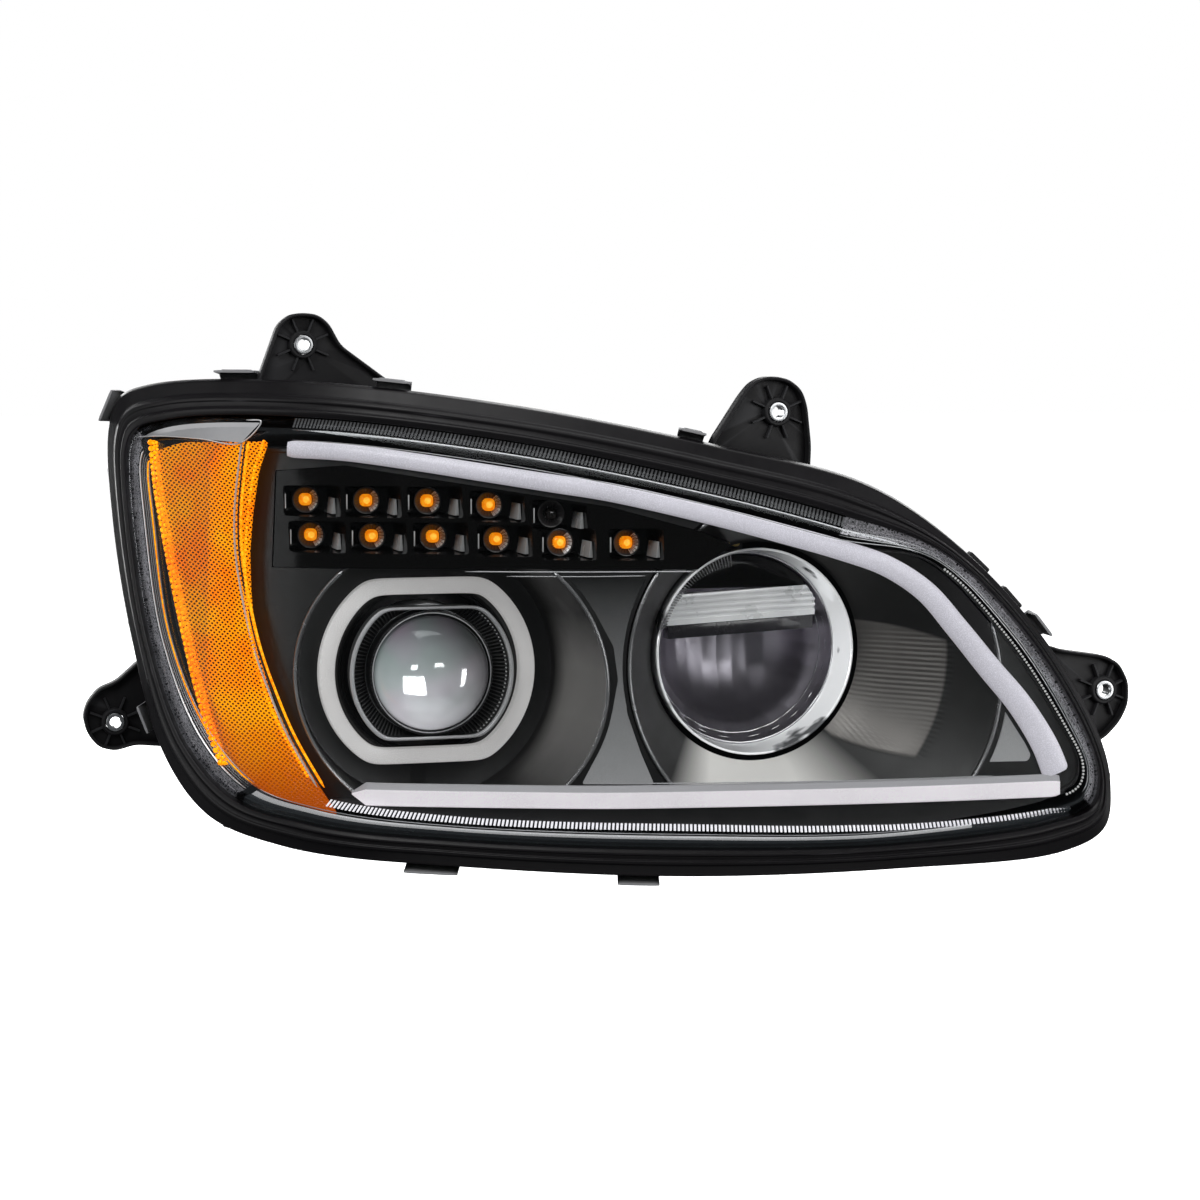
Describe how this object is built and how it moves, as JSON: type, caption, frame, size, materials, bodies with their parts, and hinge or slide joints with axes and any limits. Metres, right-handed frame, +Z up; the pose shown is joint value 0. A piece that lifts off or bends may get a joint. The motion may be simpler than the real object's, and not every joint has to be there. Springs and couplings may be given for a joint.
{
  "type": "truck headlight assembly",
  "caption": "Swept LED truck headlight with projector low beam, reflector high beam, light bars, turn signal row and amber side reflector, on bolting lugs.",
  "frame": {"origin": "datum point of the vehicle bracket, in the middle of the lamp between its four lugs", "axes": "+X inboard across the vehicle, -Y straight ahead along both beams, +Z up"},
  "size_m": [0.6853, 0.3809, 0.3819],
  "materials": {
    "housing_plastic": "fine spark-eroded grain",
    "seal_rubber": "satin",
    "clear_lens": "hard-coated gloss",
    "bezel_black": "satin",
    "bezel_satin": "satin metallised",
    "gloss_black": "gloss",
    "light_guide": "frosted",
    "amber_lens": "prismatic",
    "halo_white": "satin",
    "cast_aluminium": "cast",
    "satin_aluminium": "ribbed satin",
    "black_plastic": "satin",
    "cap_rubber": "matte",
    "projector_glass": "polished",
    "chrome": "bright",
    "steel": "zinc plated",
    "circuit_board": "solder mask",
    "brass": "machined",
    "amber_led": "moulded",
    "dark_led": "tinted",
    "clip_grey": "satin"
  },
  "bodies": {
    "housing": {"housing_shell": "housing_plastic", "perimeter_seal": "seal_rubber", "outer_lens": "clear_lens", "main_bezel": "bezel_black", "low_beam_bay": "bezel_black", "high_beam_bay": "bezel_satin", "turn_panel": "gloss_black", "turn_led_1": "amber_led", "turn_led_2": "amber_led", "turn_led_3": "amber_led", "turn_led_4": "amber_led", "turn_led_5": "dark_led", "turn_led_6": "amber_led", "turn_led_7": "amber_led", "turn_led_8": "amber_led", "turn_led_9": "amber_led", "turn_led_10": "amber_led", "turn_led_11": "amber_led", "light_bar_upper": "light_guide", "light_bar_lower": "light_guide", "side_reflector": "amber_lens", "halo_ring": "halo_white", "bushing_upper_outboard": "steel", "bushing_upper_inboard": "steel", "bushing_inboard": "steel", "bushing_outboard": "steel", "lens_clip_1": "clip_grey", "lens_clip_2": "clip_grey", "lens_clip_3": "clip_grey", "lens_clip_4": "clip_grey", "lens_clip_5": "clip_grey", "lens_clip_6": "clip_grey", "lens_clip_7": "clip_grey", "lens_clip_8": "clip_grey", "driver_module": "cast_aluminium", "connector_socket": "black_plastic", "vent_cap": "cap_rubber"},
    "low_beam_unit": {"projector_lens": "projector_glass", "lens_retainer": "black_plastic", "low_beam_shroud": "gloss_black", "low_beam_trim_ring": "chrome", "projector_housing": "cast_aluminium", "cutoff_shield": "steel", "low_beam_reflector": "chrome", "low_beam_led_board": "circuit_board", "low_beam_heat_sink": "cast_aluminium", "low_beam_carrier": "black_plastic"},
    "high_beam_unit": {"high_beam_ring": "chrome", "high_beam_reflector": "chrome", "high_beam_led_bar": "satin_aluminium", "high_beam_led_board": "circuit_board", "high_beam_upper_shroud": "gloss_black", "high_beam_heat_sink": "cast_aluminium", "high_beam_carrier": "black_plastic"},
    "low_adjuster": {"low_beam_adjuster": "brass"},
    "high_adjuster": {"high_beam_adjuster": "brass"},
    "low_cap": {"low_beam_cap": "cap_rubber"},
    "high_cap": {"high_beam_cap": "cap_rubber"}
  },
  "joints": [
    {"name": "low_beam_tilt", "type": "hinge", "parent": "housing", "child": "low_beam_unit", "pos_m": [-0.117, 0.06, -0.0565], "axis": [1, 0, 0], "range_deg": [-2.5, 2.5]},
    {"name": "high_beam_tilt", "type": "hinge", "parent": "housing", "child": "high_beam_unit", "pos_m": [0.0955, 0, -0.042], "axis": [1, 0, 0], "range_deg": [-2.5, 2.5]},
    {"name": "low_adjuster_turn", "type": "hinge", "parent": "housing", "child": "low_adjuster", "pos_m": [-0.117, 0.17, 0.0155], "axis": [0, 1, 0], "range_deg": [-378, 378]},
    {"name": "high_adjuster_turn", "type": "hinge", "parent": "housing", "child": "high_adjuster", "pos_m": [0.0955, 0.094, 0.03], "axis": [0, 1, 0], "range_deg": [-378, 378]},
    {"name": "low_cap_twist", "type": "hinge", "parent": "housing", "child": "low_cap", "pos_m": [-0.117, 0.195, -0.0565], "axis": [0, 1, 0], "range_deg": [0, 45]},
    {"name": "high_cap_twist", "type": "hinge", "parent": "housing", "child": "high_cap", "pos_m": [0.0955, 0.116, -0.042], "axis": [0, 1, 0], "range_deg": [0, 45]}
  ],
  "couplings": [
    {"joint": "low_adjuster_turn", "follows": "low_beam_tilt", "ratio": 150.8},
    {"joint": "high_adjuster_turn", "follows": "high_beam_tilt", "ratio": 150.8}
  ]
}
